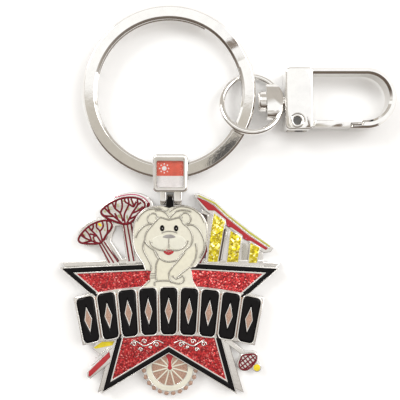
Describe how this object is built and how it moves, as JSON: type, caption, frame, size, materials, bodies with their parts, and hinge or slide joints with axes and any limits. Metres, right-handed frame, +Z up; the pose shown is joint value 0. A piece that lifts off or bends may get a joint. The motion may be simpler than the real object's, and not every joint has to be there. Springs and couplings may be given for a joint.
{
  "type": "souvenir keychain",
  "caption": "Souvenir keychain: flat split ring with a swivel snap hook and a hinged bail that carries an enamelled star medallion with a lion.",
  "frame": {"origin": "centre of the whole object's box on the surface it lies on", "axes": "+Z up out of the front faces, +Y from the medallion towards the split ring, +X towards the hook"},
  "size_m": [0.0622, 0.0728, 0.0063],
  "materials": {
    "nickel": "polished nickel plate on zinc and steel, lightly worn",
    "spring_steel": "plain drawn steel",
    "black_enamel": "glossy black soft enamel",
    "red_glitter": "red enamel full of fine glitter",
    "yellow_glitter": "yellow enamel full of fine glitter",
    "copper_enamel": "copper-tan enamel with a metallic grain",
    "cream_enamel": "satin cream enamel",
    "red_enamel": "glossy red enamel",
    "dark_red_enamel": "dark red enamel lines",
    "lime_enamel": "yellow-green enamel",
    "yellow_enamel": "glossy yellow enamel",
    "grey_enamel": "grey enamel",
    "label_print": "printed label, red over off-white",
    "clear_epoxy": "clear glossy epoxy dome"
  },
  "bodies": {
    "ring": {"split_ring": "nickel"},
    "bail": {"bail_housing": "nickel", "bail_label": "label_print", "label_dome": "clear_epoxy", "bail_hinge_pin": "spring_steel"},
    "charm": {"charm_casting": "nickel", "boat_sail": "yellow_enamel", "boat_stripe": "red_enamel", "border_left": "black_enamel", "border_legs": "black_enamel", "border_right": "black_enamel", "eye_left": "black_enamel", "eye_right": "black_enamel", "field_left": "red_glitter", "field_legs": "red_glitter", "field_right": "red_glitter", "frieze_bar_1": "black_enamel", "frieze_bar_2": "black_enamel", "frieze_bar_3": "black_enamel", "frieze_bar_4": "black_enamel", "frieze_bar_5": "black_enamel", "frieze_bar_6": "black_enamel", "frieze_bar_7": "black_enamel", "frieze_bar_8": "black_enamel", "frieze_bar_9": "black_enamel", "frieze_inlay_1": "copper_enamel", "frieze_inlay_2": "copper_enamel", "frieze_inlay_3": "copper_enamel", "frieze_inlay_4": "copper_enamel", "frieze_inlay_5": "copper_enamel", "frieze_inlay_6": "copper_enamel", "frieze_inlay_7": "copper_enamel", "frieze_inlay_8": "copper_enamel", "frieze_inlay_9": "copper_enamel", "lantern_ball": "yellow_enamel", "lantern_red": "dark_red_enamel", "large_canopy": "dark_red_enamel", "large_stem": "dark_red_enamel", "lion_chest": "cream_enamel", "lion_mane": "cream_enamel", "lion_mouth": "red_enamel", "lion_nose": "grey_enamel", "roof_line": "lime_enamel", "roof_red": "red_enamel", "small_canopy": "dark_red_enamel", "small_stem": "dark_red_enamel", "tongue_enamel": "black_enamel", "tower_1": "yellow_glitter", "tower_2": "yellow_glitter", "tower_3": "yellow_glitter", "wheel_cream": "cream_enamel", "wheel_red": "red_enamel"},
    "link": {"swivel_ring": "nickel"},
    "hook": {"hook_body": "nickel", "swivel_rivet": "nickel", "gate_rivet": "nickel", "gate_spring": "spring_steel"},
    "gate": {"gate": "nickel"}
  },
  "joints": [
    {"name": "bail_orbit", "type": "hinge", "parent": "ring", "child": "bail", "pos_m": [-0.01068, 0.02036, 0.0015], "axis": [0, 0, 1], "range_deg": [-90, 20]},
    {"name": "charm_hinge", "type": "hinge", "parent": "bail", "child": "charm", "pos_m": [-0.01055, 0.00046, 0.0017], "axis": [1, 0, 0], "range_deg": [-85, 60]},
    {"name": "link_orbit", "type": "hinge", "parent": "ring", "child": "link", "pos_m": [-0.01068, 0.02036, 0.0015], "axis": [0, 0, 1], "range_deg": [-10, 60]},
    {"name": "hook_swivel", "type": "hinge", "parent": "link", "child": "hook", "pos_m": [0.01057, 0.01856, 0.0025], "axis": [1, 0, 0], "continuous": true},
    {"name": "gate_hinge", "type": "hinge", "parent": "hook", "child": "gate", "pos_m": [0.01273, 0.01481, 0.0025], "axis": [0, 0, 1], "range_deg": [0, 25], "stiffness_Nm_per_rad": 0.002, "springref_deg": -17.19}
  ]
}
